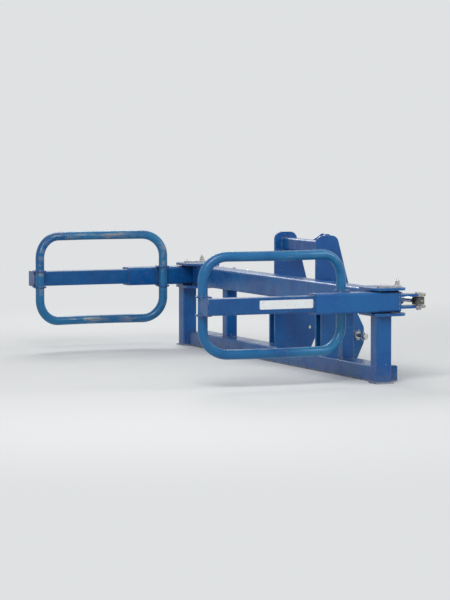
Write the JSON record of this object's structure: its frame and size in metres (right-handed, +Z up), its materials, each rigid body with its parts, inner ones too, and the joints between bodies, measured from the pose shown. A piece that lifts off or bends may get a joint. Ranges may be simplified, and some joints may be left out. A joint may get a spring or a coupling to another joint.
{
  "type": "linkage bale grab",
  "caption": "Three-point linkage grab whose two swinging arms squeeze wrapped round bales between bowed tubular hands.",
  "frame": {"origin": "on the ground, at the middle of the grab's length and width", "axes": "+X points to the tractor, +Y to the tractor's left, +Z up"},
  "size_m": [1.6332, 3.156, 0.85],
  "materials": {
    "blue_paint": "gloss, slightly weathered",
    "worn_steel": "bare, rubbed by the joint",
    "zinc_plate": "zinc plated, satin",
    "black_paint": "satin",
    "chrome_rod": "hard chrome",
    "white_label": "blank vinyl, slightly scuffed",
    "black_rubber": "matt"
  },
  "bodies": {
    "frame": {"top_beam": "blue_paint", "lower_beam": "blue_paint", "headstock_tie": "blue_paint", "top_link_ears": "blue_paint", "right_strut": "blue_paint", "right_post": "blue_paint", "right_jaw_upper": "blue_paint", "right_jaw_lower": "blue_paint", "right_pivot_pin": "zinc_plate", "right_mast_plate": "blue_paint", "right_hitch_plate": "blue_paint", "right_lower_pin": "zinc_plate", "right_cylinder_anchor": "blue_paint", "right_anchor_pin": "zinc_plate", "left_strut": "blue_paint", "left_post": "blue_paint", "left_jaw_upper": "blue_paint", "left_jaw_lower": "blue_paint", "left_pivot_pin": "zinc_plate", "left_mast_plate": "blue_paint", "left_hitch_plate": "blue_paint", "left_lower_pin": "zinc_plate", "left_cylinder_anchor": "blue_paint", "left_anchor_pin": "zinc_plate"},
    "right_arm": {"right_arm_sleeve": "blue_paint", "right_arm_beam": "blue_paint", "right_hand_ring": "blue_paint", "right_ring_collars": "blue_paint", "right_crank_fork": "blue_paint", "right_crank_pin": "zinc_plate"},
    "right_barrel": {"right_cylinder_barrel": "black_paint"},
    "right_rod": {"right_cylinder_rod": "chrome_rod"},
    "left_arm": {"left_arm_sleeve": "blue_paint", "left_arm_beam": "blue_paint", "left_hand_ring": "blue_paint", "left_ring_collars": "blue_paint", "left_crank_fork": "blue_paint", "left_crank_pin": "zinc_plate"},
    "left_barrel": {"left_cylinder_barrel": "black_paint"},
    "left_rod": {"left_cylinder_rod": "chrome_rod"}
  },
  "joints": [
    {"name": "right_arm_swing", "type": "hinge", "parent": "frame", "child": "right_arm", "pos_m": [0.37657, -1.5, 0.5], "axis": [0, 0, -1], "range_deg": [-14, 14]},
    {"name": "right_cylinder_swing", "type": "hinge", "parent": "frame", "child": "right_barrel", "pos_m": [0.59157, -0.88, 0.5], "axis": [0, 0, -1], "range_deg": [-0.5, 0.5]},
    {"name": "right_rod_slide", "type": "slide", "parent": "right_barrel", "child": "right_rod", "axis": [0.0662, -0.9978, 0], "range_m": [-0.063, 0.063]},
    {"name": "left_arm_swing", "type": "hinge", "parent": "frame", "child": "left_arm", "pos_m": [0.37657, 1.5, 0.5], "axis": [0, 0, 1], "range_deg": [-14, 14]},
    {"name": "left_cylinder_swing", "type": "hinge", "parent": "frame", "child": "left_barrel", "pos_m": [0.59157, 0.88, 0.5], "axis": [0, 0, 1], "range_deg": [-0.5, 0.5]},
    {"name": "left_rod_slide", "type": "slide", "parent": "left_barrel", "child": "left_rod", "axis": [0.0662, 0.9978, 0], "range_m": [-0.063, 0.063]}
  ],
  "couplings": [
    {"joint": "right_cylinder_swing", "follows": "right_arm_swing", "ratio": 0.0257},
    {"joint": "right_rod_slide", "follows": "right_arm_swing", "m_per_rad": 0.2528},
    {"joint": "left_cylinder_swing", "follows": "left_arm_swing", "ratio": 0.0257},
    {"joint": "left_rod_slide", "follows": "left_arm_swing", "m_per_rad": 0.2528}
  ]
}
